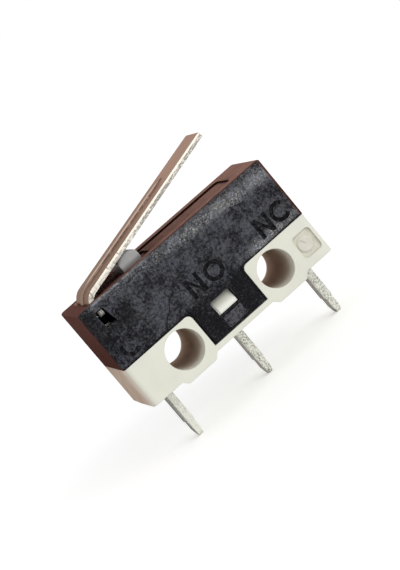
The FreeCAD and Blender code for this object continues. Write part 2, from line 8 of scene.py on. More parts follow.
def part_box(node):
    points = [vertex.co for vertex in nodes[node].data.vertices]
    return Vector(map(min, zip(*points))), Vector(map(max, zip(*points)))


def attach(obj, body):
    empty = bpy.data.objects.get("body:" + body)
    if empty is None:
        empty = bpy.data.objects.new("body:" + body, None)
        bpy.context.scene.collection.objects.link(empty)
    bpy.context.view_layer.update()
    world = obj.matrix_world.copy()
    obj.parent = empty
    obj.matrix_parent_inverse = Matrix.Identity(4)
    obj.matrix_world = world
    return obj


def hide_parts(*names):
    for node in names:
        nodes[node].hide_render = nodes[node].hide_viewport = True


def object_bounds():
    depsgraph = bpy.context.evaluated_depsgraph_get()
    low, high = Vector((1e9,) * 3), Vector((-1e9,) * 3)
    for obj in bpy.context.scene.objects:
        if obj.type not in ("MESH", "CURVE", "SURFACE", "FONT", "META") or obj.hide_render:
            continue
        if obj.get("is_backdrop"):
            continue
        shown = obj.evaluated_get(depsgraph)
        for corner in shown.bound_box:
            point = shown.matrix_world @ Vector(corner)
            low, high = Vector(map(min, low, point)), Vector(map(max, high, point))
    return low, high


MM = 0.001

# Camera: what it looks at, from how far, and how it is turned
CAMERA_TARGET = Vector((3.31, 0, 1.555)) * MM
CAMERA_DISTANCE = 111.09 * MM
CAMERA_AZIMUTH = -9.77
CAMERA_ELEVATION = 9.05
CAMERA_ROLL = -39.93
CAMERA_LENS = 130.23
CAMERA_CLIP = 5 * MM

# Light: the world's strength, and a soft sun with the angle that it fills in degrees
WORLD_LIGHT = 0.7
SUN_DIRECTION = (0.5, -1.0, 0.45)
SUN_STRENGTH = 1.0
SUN_SOFTNESS = 40

# Floor: how much it glows for the camera, and half its side in metres
FLOOR_GLOW = 0.3
FLOOR_HALF = 3.0

# Terminal marks engraved in the cover's front, in millimetres: x of the middle, z of the foot
DARK_MARKS = (("N", 2.6, 1.56), ("O", 3.89, 1.54), ("N", 7.48, 1.57), ("C", 8.64, 1.59))
FAINT_MARKS = (("C", -2.06, 1.5),)
MARK_HEIGHT = 1.17
MARK_DEPTH = 0.07
STROKE_WIDTH = 0.24
N_WIDTH = 0.95
N_DIAGONAL = 0.34
C_OPENING = 42
RING_STEPS = 40

# Front tab, its window and the seam along the base, in millimetres. The raised pad is what
# stands furthest forward
PAD_RISE = 0.03
SEAM_HEIGHT = 1.25
TAB_MIDDLE = 3.25
TAB_HALF = 1.83
WINDOW_HALF = 0.68
WINDOW_TOP = 0.93

# Roof and ends of the cover, in millimetres: the height of the roof's edge, and where each
# region of painted brown reflection begins
EDGE_HEIGHT = 5.0
ROOF_START = 4.5
ROOF_HALF = 2.6
RIM_BACK = -2.45
SLOT_RIGHT = 0.6
COVER_LEFT = -2.95
COVER_RIGHT = 9.35

# Scuffs in the cover's front, in millimetres: a band with its height at one x and its fall to
# the right, the patch at the foot of the face, and a light line under the roof
BAND_HEIGHT = 4.4
BAND_X = 6.0
BAND_FALL = 0.06
PATCH_LEFT = 5.5
PATCH_RIGHT = 9.0
PATCH_TOP = 2.1
LINE_LEFT = -2.6
LINE_RIGHT = 2.4

# Scratch in the cover's front: x and z where it starts, its angle in degrees, its length
SCRATCH = (1.5, 2.8, 220.5, 2.1)

# Base, in millimetres
BASE_LEFT = -3.05
HOLE_PITCH = 6.5
HOLE_REACH = 1.2
CATCH_DEPTH = 0.5
POCKET_LEFT = 7.75
POCKET_RIGHT = 9.45
POCKET_DEPTH = 0.25
BOSS_MIDDLE = (8.62, -0.08)
BOSS_RADIUS = 0.42

# Pins, in millimetres
FIRST_PIN = -1.88
PIN_PITCH = 5.08

# Lever: the blade's slope in degrees, and in millimetres how much of its end is measured and
# how far from y = 0 the sheared sides, the ears and the bead's flank lie
LEVER_SLOPE = 14.36
LEVER_END = 0.3
SIDES_START = 1.0
EAR_START = 2.2
EAR_MIDDLE = (-2.1, 4.36)
BEAD_HALF = 0.3
BEAD_LEFT = -1.7
BEAD_RIGHT = 5.2

# Heights above the blade's middle plane, in millimetres
TORN_HEIGHT = 0.08
BEAD_FOOT = 0.155
BEAD_CREST = 0.22

# Colours, linear
COVER_BLACK = (0.004, 0.004, 0.005)
COVER_DARK = (0.006, 0.006, 0.008)
COVER_LIGHT = (0.086, 0.087, 0.100)
COVER_BLUE = (0.076, 0.086, 0.118)
COVER_PAD = (0.088, 0.086, 0.096)
COVER_SCUFF = (0.50, 0.49, 0.47)
COVER_SCUFF_BLUE = (0.46, 0.47, 0.51)
COVER_ROOF_REFLECTION = (0.300, 0.165, 0.130)
COVER_ROOF_REFLECTION_DARK = (0.115, 0.045, 0.036)
COVER_RECESS_SHADOW = (0.016, 0.006, 0.004)
COVER_SLOT_PAINTED_LIGHT = (0.55, 0.34, 0.28)
COVER_RIM = (0.066, 0.032, 0.028)
COVER_END_REFLECTION = (0.090, 0.031, 0.022)
COVER_END_REFLECTION_DARK = (0.060, 0.015, 0.009)
MARK_DARK = (0.027, 0.027, 0.031)
MARK_FAINT = (0.046, 0.046, 0.053)
BASE_IVORY = (0.78, 0.78, 0.68)
BASE_SHADE = (0.74, 0.74, 0.65)
BASE_LIGHT = (0.90, 0.90, 0.82)
BASE_SHADOW_AND_MARK = (0.36, 0.36, 0.31)
BASE_POCKET_SHADE = (0.68, 0.65, 0.56)
BASE_HOLE_PAINTED_BROWN = (0.56, 0.48, 0.40)
BASE_HOLE_PAINTED_SHADE = (0.47, 0.335, 0.255)
BASE_END_REFLECTION = (0.48, 0.355, 0.27)
BASE_END_REFLECTION_LIT = (0.74, 0.66, 0.57)
PLUNGER_GREY = (0.46, 0.47, 0.47)
PLUNGER_PAINTED_LIGHT = (0.68, 0.65, 0.63)
PLUNGER_FOOT_SHADOW = (0.13, 0.125, 0.12)
STEEL_REFLECTION = (0.50, 0.34, 0.26)
STEEL_REFLECTION_DARK = (0.27, 0.20, 0.155)
STEEL_REFLECTION_TINT = (0.51, 0.37, 0.32)
STEEL_CREAM = (0.88, 0.84, 0.74)
STEEL_GREY = (0.34, 0.32, 0.29)
STEEL_EAR_SHADE = (0.10, 0.10, 0.095)
BEAD_CREST_HIGHLIGHT = (0.66, 0.50, 0.40)
BEAD_FOOT_SHADOW = (0.05, 0.025, 0.02)
TIN_LIGHT = (0.95, 0.95, 0.87)
TIN_GREY = (0.17, 0.155, 0.125)
TIN_REFLECTION_BROWN = (0.42, 0.36, 0.31)
COPPER = (0.72, 0.42, 0.25)
SILVER = (0.85, 0.84, 0.80)
FLOOR_WHITE = (0.95, 0.95, 0.95)


def shaded(colour, factor):
    """The colour, darker by a factor."""
    return tuple(factor * c for c in colour)


class Graph:
    """Node material with short ways to add and link shader nodes. Places are in millimetres."""

    def __init__(self, name):
        self.material = bpy.data.materials.new(name)
        self.material.use_nodes = True
        self.tree = self.material.node_tree
        self.shader = self.tree.nodes["Principled BSDF"]
        self.coordinates = self.node("ShaderNodeTexCoord")

    def node(self, kind, **settings):
        made = self.tree.nodes.new(kind)
        for key, value in settings.items():
            setattr(made, key, value)
        return made

    def feed(self, socket, value):
        """Links a socket, or sets its plain value."""
        if isinstance(value, bpy.types.NodeSocket):
            self.tree.links.new(value, socket)
        elif isinstance(value, tuple) and socket.type == "RGBA":
            socket.default_value = (*value, 1)
        else:
            socket.default_value = value

    def set(self, **values):
        """Feeds the shader's own sockets."""
        for key, value in values.items():
            self.feed(self.shader.inputs[key.replace("_", " ")], value)

    def math(self, operation, a, b=0.0):
        made = self.node("ShaderNodeMath", operation=operation)
        self.feed(made.inputs[0], a)
        self.feed(made.inputs[1], b)
        return made.outputs["Value"]

    def plus(self, a, b):
        return self.math("ADD", a, b)

    def minus(self, a, b):
        return self.math("SUBTRACT", a, b)

    def absolute(self, value):
        return self.math("ABSOLUTE", value)

    def inverse(self, value):
        return self.minus(1.0, value)

    def product(self, *values):
        result = values[0]
        for value in values[1:]:
            result = self.math("MULTIPLY", result, value)
        return result

    def largest(self, *values):
        result = values[0]
        for value in values[1:]:
            result = self.math("MAXIMUM", result, value)
        return result

    def length(self, a, b):
        """Length of a vector with two square components."""
        return self.math("SQRT", self.plus(self.product(a, a), self.product(b, b)))

    def mix(self, factor, a, b):
        made = self.node("ShaderNodeMix", data_type="RGBA")
        self.feed(made.inputs["Factor"], factor)
        first, second = [s for s in made.inputs if s.type == "RGBA"]
        self.feed(first, a)
        self.feed(second, b)
        return [s for s in made.outputs if s.type == "RGBA"][0]

    def ramp(self, value, low, high, start=0.0, end=1.0):
        """Value mapped smoothly from low..high to start..end."""
        made = self.node("ShaderNodeMapRange", interpolation_type="SMOOTHSTEP")
        self.feed(made.inputs["Value"], value)
        for key, number in (("From Min", low), ("From Max", high),
                            ("To Min", start), ("To Max", end)):
            made.inputs[key].default_value = number
        return made.outputs["Result"]

    def part(self, vector, letter):
        split = self.node("ShaderNodeSeparateXYZ")
        self.feed(split.inputs["Vector"], vector)
        return split.outputs[letter]

    def place(self, letter):
        """A coordinate of the point."""
        return self.product(self.part(self.coordinates.outputs["Object"], letter), 1 / MM)

    def normal(self, letter):
        """How far the surface faces along an axis, from -1 to 1."""
        return self.part(self.coordinates.outputs["Normal"], letter)

    def reach(self, letter, low, high, start=0.0, end=1.0):
        """Smooth change from start to end between two places on an axis."""
        return self.ramp(self.place(letter), low, high, start, end)

    def off(self, letter, middle=0.0):
        """Distance from a place on an axis."""
        return self.absolute(self.minus(self.place(letter), middle))

    def noise(self, size, detail=3.0, stretch=(1, 1, 1), roughness=0.6):
        """Noise with features about size across, made longer along each axis by stretch."""
        mapping = self.node("ShaderNodeMapping")
        self.feed(mapping.inputs["Vector"], self.coordinates.outputs["Object"])
        mapping.inputs["Scale"].default_value = [1 / s for s in stretch]
        noise = self.node("ShaderNodeTexNoise")
        self.feed(noise.inputs["Vector"], mapping.outputs["Vector"])
        noise.inputs["Scale"].default_value = 1 / (size * MM)
        noise.inputs["Detail"].default_value = detail
        noise.inputs["Roughness"].default_value = roughness
        return noise.outputs["Fac"]

    def wave(self, size, height, detail):
        """Noise that swings about zero and spans height."""
        return self.product(self.minus(self.noise(size, detail), 0.5), height)

    def scratch(self, x, z, angle, length, half_width=0.045):
        """1 along a thin, slightly wavy line in the XZ plane."""
        turn = math.radians(angle)
        off_x = self.minus(self.place("X"), x)
        off_z = self.minus(self.place("Z"), z)
        along = self.plus(
            self.product(off_x, math.cos(turn)),
            self.product(off_z, math.sin(turn)),
        )
        across = self.minus(
            self.product(off_z, math.cos(turn)),
            self.product(off_x, math.sin(turn)),
        )
        across = self.absolute(self.plus(across, self.wave(0.8, 0.4, 1)))
        return self.product(
            self.ramp(across, half_width, half_width / 3),
            self.ramp(along, 0.0, 0.2),
            self.ramp(along, length, length - 0.3),
        )

    def rounded(self, radius):
        """Normal of the surface with its edges rounded."""
        bevel = self.node("ShaderNodeBevel", samples=6)
        bevel.inputs["Radius"].default_value = radius * MM
        return bevel.outputs["Normal"]

    def worn_edge(self, radius):
        """1 on a sharp edge, 0 away from it."""
        flat = self.node("ShaderNodeNewGeometry").outputs["Normal"]
        dot = self.node("ShaderNodeVectorMath", operation="DOT_PRODUCT")
        self.feed(dot.inputs[0], self.rounded(radius))
        self.feed(dot.inputs[1], flat)
        return self.ramp(dot.outputs["Value"], 0.98, 0.75)

    def bump(self, height, depth, radius=0.03):
        """Relief on a surface with slightly rounded edges."""
        bump = self.node("ShaderNodeBump")
        bump.inputs["Distance"].default_value = depth * MM
        self.feed(bump.inputs["Height"], height)
        self.feed(bump.inputs["Normal"], self.rounded(radius))
        self.feed(self.shader.inputs["Normal"], bump.outputs["Normal"])


def mottled_face(g, grain, clouds, pad_front):
    """Colour of the cover's front without its scuffs, and how light the mottle is.

    It darkens toward its foot, round the ear's window and at its left edge.
    """
    low = g.reach("Z", 1.7, 0.7, 0.0, 0.24)
    by_window = g.product(g.reach("X", -0.5, -0.9), g.reach("Z", 4.1, 3.8))
    left_side = g.product(
        g.largest(by_window, g.reach("X", -2.2, -2.6)),
        g.reach("Z", 2.5, 2.8, 0.07, 0.14),
    )
    tone = g.plus(g.product(grain, 1.25), g.product(clouds, 0.75))
    mottle = g.ramp(g.minus(tone, g.largest(low, left_side)), 0.82, 1.22)
    bluish = g.ramp(g.noise(1.6, 2), 0.48, 0.66, 0.0, 0.3)
    face = g.mix(mottle, COVER_DARK, g.mix(bluish, COVER_LIGHT, COVER_BLUE))
    on_pad = g.reach("Y", pad_front + 0.015, pad_front + 0.005)
    pad = g.mix(g.ramp(tone, 0.88, 1.12), COVER_DARK, COVER_PAD)
    return g.mix(on_pad, face, pad), mottle


def edge_wear_and_light_line(g):
    """How worn the cover's sharp edges are, and a light line under the roof at the left."""
    broken = g.ramp(g.noise(0.3, 3), 0.4, 0.6)
    line = g.product(
        g.reach("Z", EDGE_HEIGHT - 0.13, EDGE_HEIGHT - 0.06),
        g.reach("X", LINE_RIGHT, LINE_RIGHT - 1.6),
        g.reach("X", LINE_LEFT, LINE_LEFT + 0.4),
        g.plus(g.product(broken, 0.35), 0.1),
    )
    return g.largest(g.product(g.worn_edge(0.05), broken, 0.4), line)


def scuffed_face(g, clouds, face):
    """The face with its light scuffs, and how strong they are.

    They fill a band under the roof's edge and a patch at the right-hand foot of the face.
    """
    fall = g.product(g.minus(g.place("X"), BAND_X), BAND_FALL)
    level = g.plus(g.place("Z"), fall)
    rightward = g.reach("X", -1.5, 6.0, 0.35, 1.25)
    band = g.product(
        g.ramp(level, BAND_HEIGHT - 0.6, BAND_HEIGHT),
        g.ramp(level, EDGE_HEIGHT, EDGE_HEIGHT - 0.4, 0.3, 1.0),
        rightward,
    )
    core = g.product(
        g.ramp(level, BAND_HEIGHT - 0.3, BAND_HEIGHT),
        g.ramp(level, BAND_HEIGHT + 0.4, BAND_HEIGHT + 0.1),
        rightward,
    )
    patch = g.product(
        g.reach("Z", PATCH_TOP, PATCH_TOP - 0.6, 0.0, 1.25),
        g.reach("X", PATCH_LEFT, PATCH_LEFT + 0.8),
        g.reach("X", PATCH_RIGHT, PATCH_RIGHT - 1.4, 0.6, 1.0),
    )
    where = g.largest(band, patch, 0.1)
    specks = g.product(g.ramp(g.noise(0.1, 3, roughness=0.95), 0.49, 0.62), where, 0.6)
    bright = g.product(
        g.ramp(g.noise(0.13, 2, roughness=0.9), 0.57, 0.64),
        g.largest(core, patch),
        0.8,
    )
    uneven = g.ramp(g.noise(0.7, 3), 0.35, 0.6, 0.35, 1.0)
    scuffs = g.product(g.plus(specks, bright), uneven)
    haze = g.product(g.ramp(clouds, 0.3, 0.6, 0.3, 1.0), where, where, 0.12)
    light = g.mix(g.ramp(g.noise(0.5, 2), 0.4, 0.6), COVER_SCUFF, COVER_SCUFF_BLUE)
    return g.mix(g.largest(scuffs, haze, edge_wear_and_light_line(g)), face, light), scuffs


def seam_shadowed_face(g, face):
    """The face with a painted shadow along the line where it meets the base."""
    above = g.largest(g.minus(g.place("Z"), SEAM_HEIGHT), 0.0)
    inside = g.largest(g.minus(TAB_HALF, g.off("X", TAB_MIDDLE)), 0.0)
    return g.mix(g.ramp(g.length(above, inside), 0.16, 0.05, 0.0, 0.85), face, COVER_BLACK)


def painted_roof_reflection(g, streaks, within):
    """Painted reddish-brown reflection on the roof, darker toward the hinge.

    On the walls sunk into it: painted light round the lever's slot, and a painted shadow beyond
    it.
    """
    hingeward = g.reach("X", 4.0, -2.5, 0.0, 0.5)
    worn = g.plus(g.product(streaks, 0.7), hingeward)
    brown = g.mix(g.ramp(worn, 0.25, 0.8), COVER_ROOF_REFLECTION, COVER_ROOF_REFLECTION_DARK)
    # Painted light on the walls round the lever's slot, and a painted shadow on the walls past
    # it
    wall = g.ramp(g.absolute(g.normal("Z")), 0.7, 0.4)
    past_slot = g.reach("X", SLOT_RIGHT, SLOT_RIGHT + 0.8)
    painted_wall_light_and_shadow = g.mix(past_slot, COVER_SLOT_PAINTED_LIGHT, COVER_RECESS_SHADOW)
    return g.mix(g.product(within, wall), brown, painted_wall_light_and_shadow)


def painted_end_reflection(g, streaks):
    """Painted brown reflection on the two ends, darker than the roof's, and lighter toward the
    roof.
    """
    height = g.plus(g.reach("Z", 1.0, 5.2), g.product(streaks, 0.5))
    return g.mix(g.ramp(height, 0.3, 1.2), COVER_END_REFLECTION_DARK, COVER_END_REFLECTION)


def cover_with_painted_reflection(g, face):
    """The face's colour with a painted brown reflection on the roof and the ends, and where
    those are.
    """
    streaks = g.noise(0.7, 4)
    facing = g.absolute(g.normal("Y"))
    sideways = g.ramp(facing, 0.75, 0.45)
    within = g.ramp(g.off("Y"), ROOF_HALF + 0.1, ROOF_HALF)
    upright = g.inverse(g.ramp(g.normal("Z"), 0.4, 0.8))
    roof = g.product(g.largest(sideways, within), g.reach("Z", ROOF_START - 0.1, ROOF_START))
    left_end = g.product(sideways, g.reach("X", COVER_LEFT + 0.1, COVER_LEFT))
    right_end = g.product(
        g.ramp(facing, 0.98, 0.85),
        g.reach("X", COVER_RIGHT - 0.1, COVER_RIGHT),
    )

    # Rim: the face's charcoal reaches over the front edge in a wavy line, where the painted
    # reflection is dim
    rim = g.ramp(g.plus(g.place("Y"), g.wave(0.8, 0.4, 2)), RIM_BACK, RIM_BACK - 0.15)
    bare_roof = g.product(roof, g.inverse(g.product(rim, g.reach("X", 2.8, 1.2))))
    bare_left_end = g.product(left_end, g.inverse(g.product(rim, 0.8)))
    bare_ends = g.product(g.largest(bare_left_end, right_end), upright)
    rimmed_roof = g.mix(g.product(rim, 0.9), painted_roof_reflection(g, streaks, within), COVER_RIM)
    colour = g.mix(bare_roof, face, rimmed_roof)
    colour = g.mix(bare_ends, colour, painted_end_reflection(g, streaks))
    return colour, g.largest(roof, g.product(g.largest(left_end, right_end), upright))


def cover_material(pad_front):
    """Charcoal moulded plastic, scuffed in front, with a painted reddish-brown reflection on
    its roof and ends.
    """
    g = Graph("charcoal_plastic")
    grain = g.noise(0.17, 4, roughness=0.85)
    clouds = g.noise(0.9, 4, roughness=0.7)
    face, mottle = mottled_face(g, grain, clouds, pad_front)
    face, scuffs = scuffed_face(g, clouds, face)
    face = g.mix(g.product(g.scratch(*SCRATCH), 0.75), face, COVER_BLACK)
    # Painted brown reflection on the roof and the ends
    colour, brown = cover_with_painted_reflection(g, seam_shadowed_face(g, face))
    satin = g.ramp(g.largest(mottle, scuffs), 0, 1, 0.45, 0.65)
    g.set(Base_Color=colour, Roughness=g.largest(satin, brown), Specular_IOR_Level=0.05)
    g.bump(g.plus(grain, g.product(scuffs, 0.5)), 0.012)
    return g.material


def mark_material(name, light):
    """Darker plastic in the engraved marks; light is its lighter colour."""
    g = Graph(name)
    grain = g.ramp(g.noise(0.15, 3), 0.4, 0.7)
    g.set(Base_Color=g.mix(grain, COVER_BLACK, light))
    g.set(Roughness=g.ramp(grain, 0, 1, 0.5, 0.65), Specular_IOR_Level=0.05)
    g.bump(g.noise(0.08, 3), 0.01)
    return g.material


def shaded_pocket(g, front, colour):
    """The mould pocket, with painted shade in patches."""
    painted_shade = g.product(
        g.reach("X", POCKET_LEFT, POCKET_LEFT + 0.1),
        g.reach("X", POCKET_RIGHT, POCKET_RIGHT - 0.1),
        g.reach("Y", front + 0.02, front + 0.16),
        g.reach("Y", front + POCKET_DEPTH + 0.05, front + POCKET_DEPTH),
        g.ramp(g.noise(0.35, 3), 0.35, 0.6, 0.3, 1.0),
    )
    return g.mix(painted_shade, colour, BASE_POCKET_SHADE)


def shaded_boss(g, front, colour):
    """The boss in the mould pocket: soft painted shade, and a faint slanting mark."""
    x, z = BOSS_MIDDLE
    radius = g.length(g.off("X", x), g.off("Z", z))
    here = g.product(
        g.ramp(radius, BOSS_RADIUS, BOSS_RADIUS - 0.06),
        g.reach("Y", front + POCKET_DEPTH + 0.05, front + POCKET_DEPTH),
    )
    painted_shade = g.product(here, g.ramp(g.noise(0.3, 3), 0.3, 0.65, 0.25, 0.9))
    line = g.scratch(x - 0.28, z + 0.4, -50, 0.65, half_width=0.08)
    colour = g.mix(painted_shade, colour, BASE_POCKET_SHADE)
    return g.mix(g.product(here, line, 0.5), colour, BASE_SHADOW_AND_MARK)


def shaded_catch(g, front, colour):
    """The catch in the front window: painted shadow under its top and at its left, painted
    light at its foot.
    """
    right = g.minus(g.place("X"), TAB_MIDDLE - WINDOW_HALF)
    here = g.product(
        g.ramp(right, -0.1, -0.05),
        g.ramp(right, 2 * WINDOW_HALF + 0.1, 2 * WINDOW_HALF + 0.05),
        g.reach("Z", 0.0, 0.05),
        g.reach("Z", WINDOW_TOP + 0.1, WINDOW_TOP + 0.05),
        g.reach("Y", front + CATCH_DEPTH + 0.05, front + CATCH_DEPTH),
    )
    light = g.product(here, g.reach("Z", 0.6, 0.25))
    top = g.product(
        g.reach("Z", 0.3, 0.8),
        g.reach("Z", WINDOW_TOP - 0.02, WINDOW_TOP - 0.09, 0.3, 1.0),
        0.55,
    )
    left = g.product(g.ramp(right, 0.17, 0.13), g.ramp(right, 0.08, 0.11))
    # Painted light at the catch's foot, then painted shadow under its top and along its left
    colour = g.mix(light, colour, BASE_LIGHT)
    return g.mix(g.product(here, g.largest(top, left)), colour, BASE_SHADOW_AND_MARK)


def base_with_painted_brown(g, front, colour):
    """The base's colour with painted brown reflection and shade on the hole walls and the left
    end, and where that is.
    """
    # Painted shade deeper in the holes; painted light toward the front of the left end, with
    # random tone
    deep_shade = g.reach("Y", front + 0.6, 1.5)
    painted_hole_shade = g.mix(deep_shade, BASE_HOLE_PAINTED_BROWN, BASE_HOLE_PAINTED_SHADE)
    near = g.reach("Y", front + 2.0, front, 0.0, 0.8)
    front_light_and_tone = g.plus(near, g.ramp(g.noise(1.5, 3), 0.3, 0.7, 0.0, 0.3))
    left = g.reach("X", BASE_LEFT + 0.15, BASE_LEFT)
    brown = g.mix(left, painted_hole_shade, g.mix(front_light_and_tone, BASE_END_REFLECTION, BASE_END_REFLECTION_LIT))

    holes = [
        g.ramp(g.length(g.off("X", x), g.place("Z")), HOLE_REACH + 0.05, HOLE_REACH)
        for x in (0.0, HOLE_PITCH)
    ]
    inward = g.product(g.reach("Y", front, front + 1.8), g.reach("Y", -front, -front - 0.25))
    left_end = g.product(left, g.ramp(g.normal("X"), -0.4, -0.7))
    sideways = g.ramp(g.absolute(g.normal("Y")), 0.8, 0.4)
    where = g.product(sideways, g.largest(g.product(g.largest(*holes), inward), left_end))
    return g.mix(where, colour, brown), where


def base_material(front):
    """Ivory moulded plastic, with painted brown reflection and shade on its left end and inside
    its holes.
    """
    g = Graph("ivory_plastic")
    flow = g.ramp(g.noise(1.8, 4), 0.35, 0.7)
    colour = g.mix(flow, BASE_IVORY, BASE_SHADE)
    for shade in (shaded_pocket, shaded_catch, shaded_boss):
        colour = shade(g, front, colour)
    colour, brown = base_with_painted_brown(g, front, colour)
    g.set(Base_Color=colour, Specular_IOR_Level=0.08)
    g.set(Roughness=g.largest(g.ramp(flow, 0, 1, 0.4, 0.5), brown))
    g.bump(g.noise(0.12, 4), 0.004, radius=0.06)
    return g.material


def plunger_material():
    """Smooth grey plastic, with painted light on its faces toward the hinge and a painted
    shadow at the roof.
    """
    g = Graph("grey_plastic")
    cloud = g.noise(0.4, 3)
    # Painted light on the faces turned toward the hinge
    hingeward = g.ramp(g.normal("X"), -0.2, -0.8, 0.0, 0.8)
    shade = g.plus(hingeward, g.ramp(cloud, 0.4, 0.7, 0.0, 0.2))
    # Painted shadow at the foot, where the plunger meets the roof
    foot = g.reach("Z", EDGE_HEIGHT + 0.3, EDGE_HEIGHT, 0.0, 0.8)
    g.set(Base_Color=g.mix(foot, g.mix(shade, PLUNGER_GREY, PLUNGER_PAINTED_LIGHT), PLUNGER_FOOT_SHADOW))
    g.set(Roughness=g.ramp(cloud, 0.3, 0.7, 0.32, 0.42), Specular_IOR_Level=0.3)
    g.bump(g.noise(0.15, 3), 0.004, radius=0.08)
    return g.material


def creased_bead(g, above, face):
    """The face's colour with the bead: a painted highlight on its crest, and a broken painted
    shadow at its foot.

    above is the height over the blade's middle plane.
    """
    lit = g.product(
        g.ramp(above, BEAD_CREST, BEAD_CREST + 0.04),
        g.ramp(g.noise(0.5, 3, stretch=(2, 1, 2)), 0.35, 0.6, 0.5, 1.0),
        g.reach("X", BEAD_RIGHT, BEAD_RIGHT - 0.8, 0.2, 1.0),
    )
    broken = g.ramp(g.noise(0.2, 3, stretch=(2, 1, 2)), 0.42, 0.55, 0.1, 1.0)
    near_tip = g.reach("X", BEAD_RIGHT - 0.9, BEAD_RIGHT - 0.3)
    foot = g.product(
        g.ramp(above, BEAD_CREST - 0.005, BEAD_CREST - 0.03),
        g.largest(broken, near_tip),
    )
    bead = g.mix(foot, g.mix(lit, face, BEAD_CREST_HIGHLIGHT), BEAD_FOOT_SHADOW)
    on_bead = g.product(
        g.ramp(above, BEAD_FOOT, BEAD_FOOT + 0.015),
        g.ramp(g.off("Y"), BEAD_HALF, BEAD_HALF - 0.05),
        g.reach("X", BEAD_LEFT, BEAD_LEFT + 0.7),
    )
    return g.mix(on_bead, face, bead)


def drawn_face_with_painted_reflection(g, drawn):
    """Steel with drawing marks under a painted warm reflection that darkens toward the hinge,
    with painted shade on the far side.
    """
    face = g.mix(g.reach("X", -1.5, 8.0), STEEL_REFLECTION_DARK, STEEL_REFLECTION)
    face = g.mix(g.ramp(drawn, 0.45, 0.75, 0.0, 0.6), face, STEEL_REFLECTION_DARK)
    # Painted shade on the far side of the bead
    far_side_shade = g.product(g.reach("Y", 0.2, 0.4), g.reach("X", 5.6, 5.0, 0.0, 0.45))
    return g.mix(far_side_shade, face, STEEL_REFLECTION_DARK)


def sheared_edge(g, torn):
    """Bright steel, grey where it is torn or cracked, with painted shade on the ears, lighter
    at their upper right where a painted highlight is left.
    """
    contour = g.absolute(g.minus(g.noise(0.45, 2, stretch=(1, 1, 3)), 0.5))
    cracks = g.product(
        g.ramp(contour, 0.03, 0.01),
        g.ramp(g.noise(0.7, 2), 0.42, 0.5),
        g.reach("X", 2.0, 1.0, 0.0, 0.9),
    )
    # Painted shade on the ears, weaker above and right of EAR_MIDDLE as a painted highlight
    x, z = EAR_MIDDLE
    ear = g.product(
        g.ramp(g.off("Y"), EAR_START, EAR_START + 0.1),
        g.largest(g.reach("X", x, x - 0.08), g.reach("Z", z, z - 0.16), 0.6),
    )
    return g.mix(ear, g.mix(g.largest(torn, cracks), STEEL_CREAM, STEEL_GREY), STEEL_EAR_SHADE)


def lever_material(slope, middle):
    """Rolled steel: drawn faces with a painted warm reflection; sheared edges with a bright and
    a torn half.

    slope is the blade's angle, middle how far its middle plane lies above the origin.
    """
    g = Graph("rolled_steel")
    rise = g.minus(
        g.product(g.place("Z"), math.cos(slope)),
        g.product(g.place("X"), math.sin(slope)),
    )
    above = g.minus(rise, middle)
    drawn = g.noise(0.1, 4, stretch=(22, 1, 22))
    grain = g.noise(0.14, 4, stretch=(2, 1, 1), roughness=0.85)
    torn = g.product(
        g.ramp(above, TORN_HEIGHT, TORN_HEIGHT - 0.06),
        g.reach("X", -1.0, 2.5, 0.4, 1.0),
        g.ramp(grain, 0.42, 0.62, 0.15, 1.0),
    )
    side = g.product(
        g.ramp(g.absolute(g.normal("Y")), 0.55, 0.8),
        g.ramp(g.off("Y"), SIDES_START, SIDES_START + 0.1),
    )
    tip = g.product(g.ramp(g.normal("X"), 0.8, 0.9), g.reach("X", 5.0, 6.0))
    on_edge = g.largest(side, tip)
    face = creased_bead(g, above, drawn_face_with_painted_reflection(g, drawn))
    g.set(Base_Color=g.mix(on_edge, face, sheared_edge(g, torn)), Metallic=0.85)
    # The specular tint paints a warm reflection at glancing angles
    g.set(Roughness=g.ramp(on_edge, 0, 1, 0.34, 0.5), Specular_Tint=STEEL_REFLECTION_TINT)
    g.bump(g.plus(g.product(drawn, 0.3), g.product(torn, on_edge)), 0.02)
    return g.material


def tinned_material():
    """Tin plate with a grainy, dimpled surface, painted shade along each pin's left edge and a
    painted brown reflection on faces turned to the left.
    """
    g = Graph("tin_plate")
    grain = g.ramp(g.noise(0.1, 3, roughness=0.9), 0.44, 0.6)
    patches = g.ramp(g.noise(0.5, 3), 0.35, 0.6, 0.45, 1.0)
    first_pin = g.reach("X", 0.0, 1.5, 0.4, 1.0)
    from_left = g.plus(g.place("X"), PIN_PITCH / 2 - FIRST_PIN)
    across = g.minus(g.math("FLOORED_MODULO", from_left, PIN_PITCH), PIN_PITCH / 2)
    # Painted shade along each pin's left edge
    flank = g.product(
        g.ramp(across, -0.1, -0.2),
        g.reach("X", 0.0, 2.0, 0.9, 0.5),
        g.ramp(grain, 0, 0.6, 0.6, 1.0),
    )
    dark = g.largest(g.product(grain, patches, first_pin, 0.9), flank)
    # Painted brown reflection on faces turned to the left
    leftward_reflection = g.ramp(g.normal("X"), -0.3, -0.8)
    light = g.mix(leftward_reflection, TIN_LIGHT, TIN_REFLECTION_BROWN)
    g.set(Base_Color=g.mix(dark, light, TIN_GREY), Metallic=0.9)
    g.set(Roughness=g.ramp(dark, 0, 1, 0.3, 0.55))
    g.bump(g.plus(g.product(grain, 0.5), g.noise(0.3, 3)), 0.02, radius=0.05)
    return g.material


def spring_material():
    """Rolled copper alloy."""
    g = Graph("copper_alloy")
    drawn = g.noise(0.1, 4, stretch=(20, 1, 20))
    g.set(Base_Color=g.mix(drawn, COPPER, shaded(COPPER, 0.7)), Metallic=1.0)
    g.set(Roughness=g.ramp(drawn, 0.3, 0.7, 0.25, 0.4))
    g.bump(drawn, 0.003, radius=0.02)
    return g.material


